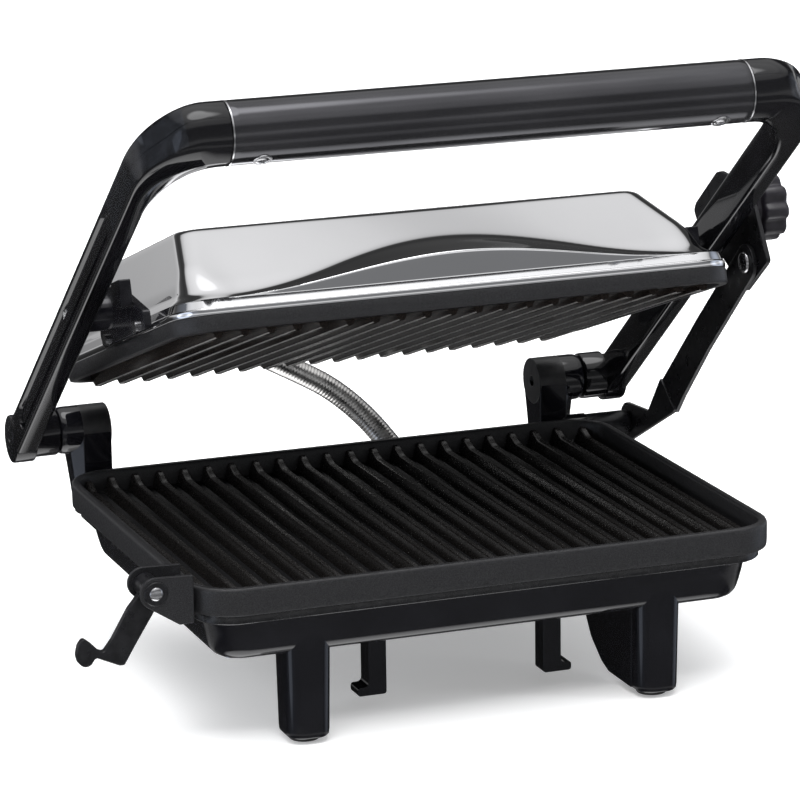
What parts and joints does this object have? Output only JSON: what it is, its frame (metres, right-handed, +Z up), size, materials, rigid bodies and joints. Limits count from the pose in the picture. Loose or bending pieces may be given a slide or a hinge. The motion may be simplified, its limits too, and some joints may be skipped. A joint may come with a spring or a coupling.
{
  "type": "panini press",
  "caption": "Open contact grill with ribbed plates, a domed chrome lid that floats on a bail handle, a folding stay with a locking knob and a storage latch.",
  "frame": {"origin": "on the table, below the middle of the lower grill plate", "axes": "+X runs along the width towards the locking knob, +Y towards the hinge at the back, +Z is up"},
  "size_m": [0.3632, 0.2696, 0.2869],
  "materials": {
    "grill": "dark non-stick coating on cast aluminium, slightly glossy",
    "collar": "dark heat-resistant plastic",
    "housing": "piano-black gloss",
    "rubber": "matte",
    "steel": "bright turned steel",
    "black_steel": "satin black paint on steel",
    "arm": "piano-black gloss, grey outer face",
    "grip": "dark metallic gloss",
    "lid_shell": "polished",
    "lug": "dark gloss",
    "heater": "oxidised tube",
    "reflector": "plain sheet",
    "thermostat": "plain",
    "ceramic": "pale terminal block",
    "bush": "matte black",
    "conduit": "ribbed flexible sleeve",
    "bracket": "dark speckled paint",
    "knob": "matte black"
  },
  "bodies": {
    "base": {"base_housing": "housing", "lower_grill_plate": "grill", "plate_collar": "collar", "lower_reflector": "reflector", "lower_heater": "heater", "lower_thermostat": "thermostat", "terminal_block": "ceramic", "cord_inlet": "bush", "base_conduit_gland": "bush", "wiring_conduit": "conduit", "rubber_feet": "rubber", "base_screws": "steel", "left_hinge_pin": "steel", "right_hinge_pin": "steel", "stay_stud": "black_steel", "latch_bracket": "bracket", "latch_pin": "steel"},
    "handle": {"left_arm": "arm", "right_arm": "arm", "grip_tube": "grip", "grip_screws": "steel", "lid_pivot_pins": "steel", "knob_stud": "steel", "knob_collar": "steel"},
    "lid": {"upper_grill_plate": "grill", "lid_cover": "lid_shell", "right_lid_lug": "lug", "left_lid_lug": "lug", "lid_lug_screws": "steel", "upper_heater": "heater", "upper_reflector": "reflector", "upper_thermostat": "thermostat", "lid_conduit_gland": "bush"},
    "stay": {"stay_bar": "black_steel"},
    "bracket": {"lock_bracket": "black_steel", "stay_rivet": "steel"},
    "knob": {"lock_knob": "knob"},
    "latch": {"latch_hook": "black_steel"}
  },
  "joints": [
    {"name": "handle_hinge", "type": "hinge", "parent": "base", "child": "handle", "pos_m": [0, 0.1223, 0.09415], "axis": [-1, 0, 0], "range_deg": [-34.9, 59], "deforming": ["wiring_conduit"]},
    {"name": "lid_tilt", "type": "hinge", "parent": "handle", "child": "lid", "pos_m": [0, 0.0258, 0.17202], "axis": [-1, 0, 0], "range_deg": [-27.3, 16.2]},
    {"name": "stay_swing", "type": "hinge", "parent": "base", "child": "stay", "pos_m": [0, 0.1133, 0.07095], "axis": [-1, 0, 0], "range_deg": [-35.3, 59.6]},
    {"name": "bracket_pivot", "type": "hinge", "parent": "handle", "child": "bracket", "pos_m": [0, -0.00961, 0.20059], "axis": [-1, 0, 0], "range_deg": [-59.6, 35.3]},
    {"name": "knob_turn", "type": "hinge", "parent": "handle", "child": "knob", "pos_m": [0, -0.00961, 0.20059], "axis": [1, 0, 0], "range_deg": [0, 180]},
    {"name": "latch_swing", "type": "hinge", "parent": "base", "child": "latch", "pos_m": [-0.1523, -0.087, 0.0776], "axis": [0, 1, 0], "range_deg": [0, 112]}
  ],
  "couplings": [
    {"joint": "lid_tilt", "follows": "handle_hinge", "ratio": -0.457},
    {"joint": "stay_swing", "follows": "handle_hinge", "ratio": 1},
    {"joint": "bracket_pivot", "follows": "handle_hinge", "ratio": -1}
  ]
}
